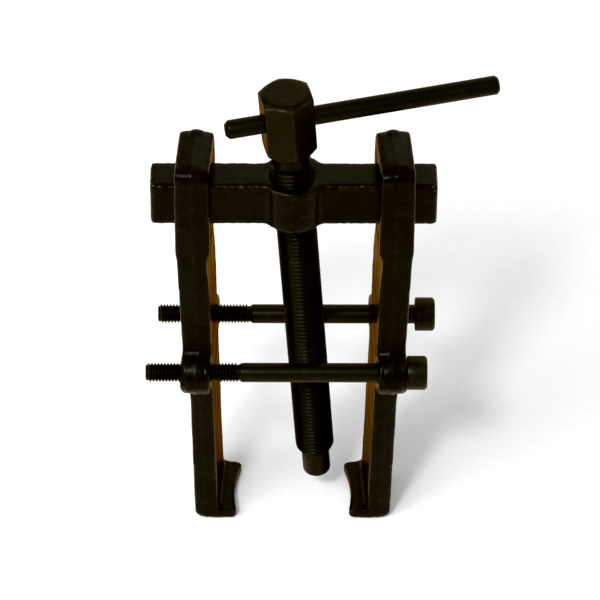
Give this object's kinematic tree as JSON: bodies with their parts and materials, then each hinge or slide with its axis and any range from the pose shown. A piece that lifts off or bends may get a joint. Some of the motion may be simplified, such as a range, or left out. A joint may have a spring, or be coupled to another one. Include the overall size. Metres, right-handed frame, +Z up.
{
  "type": "gear puller",
  "caption": "Small two-legged screw puller: legs loop over a crossbar, side bolts clamp them, and a centre screw with a tommy bar pushes while the claws pull.",
  "frame": {"origin": "the middle of the gripping plane, halfway between the two legs at the height of the claws' upper faces", "axes": "+X from the left leg to the right leg, where the bolt heads are; +Y to the back; +Z up along the legs towards the crossbar and the screw head"},
  "size_m": [0.0857, 0.0331, 0.1355],
  "materials": {
    "forged_steel": "black oxide over a forged skin, oiled, rubbed brown on the inner faces",
    "machined_steel": "black oxide over turned steel, satin",
    "bolt_steel": "black oxide, semi-matt"
  },
  "bodies": {
    "crossbar": {"crossbar": "forged_steel"},
    "pressure_tip": {"pressure_tip": "machined_steel"},
    "centre_screw": {"centre_screw": "machined_steel"},
    "tommy_bar": {"tommy_bar": "machined_steel"},
    "left_leg": {"left_leg": "forged_steel"},
    "right_leg": {"right_leg": "forged_steel"},
    "front_side_bolt": {"front_side_bolt": "bolt_steel"},
    "rear_side_bolt": {"rear_side_bolt": "bolt_steel"}
  },
  "joints": [
    {"name": "screw_travel", "type": "slide", "parent": "crossbar", "child": "pressure_tip", "axis": [-0.0663, 0, 0.9978], "range_m": [-0.006, 0.075]},
    {"name": "screw_spin", "type": "hinge", "parent": "pressure_tip", "child": "centre_screw", "pos_m": [0, 0, 0.1004], "axis": [-0.0663, 0, 0.9978], "range_deg": [-1733, 21605]},
    {"name": "bar_slide", "type": "slide", "parent": "centre_screw", "child": "tommy_bar", "axis": [0.9811, 0.1822, 0.0652], "range_m": [-0.036, 0.006]},
    {"name": "right_leg_slide", "type": "slide", "parent": "crossbar", "child": "right_leg", "axis": [1, 0, 0], "range_m": [-0.0035, 0.005]},
    {"name": "left_leg_slide", "type": "slide", "parent": "crossbar", "child": "left_leg", "axis": [1, 0, 0], "range_m": [-0.005, 0.0035]},
    {"name": "front_bolt_spin", "type": "hinge", "parent": "right_leg", "child": "front_side_bolt", "pos_m": [0, -0.0107, 0.0506], "axis": [1, 0, 0], "range_deg": [-3155, 4505]},
    {"name": "rear_bolt_spin", "type": "hinge", "parent": "right_leg", "child": "rear_side_bolt", "pos_m": [0, 0.0107, 0.0506], "axis": [1, 0, 0], "range_deg": [-3155, 4505]}
  ],
  "couplings": [
    {"joint": "screw_spin", "follows": "screw_travel", "rad_per_m": 5026.5},
    {"joint": "left_leg_slide", "follows": "right_leg_slide", "ratio": -1},
    {"joint": "front_bolt_spin", "follows": "right_leg_slide", "rad_per_m": 15708},
    {"joint": "rear_bolt_spin", "follows": "right_leg_slide", "rad_per_m": 15708}
  ]
}
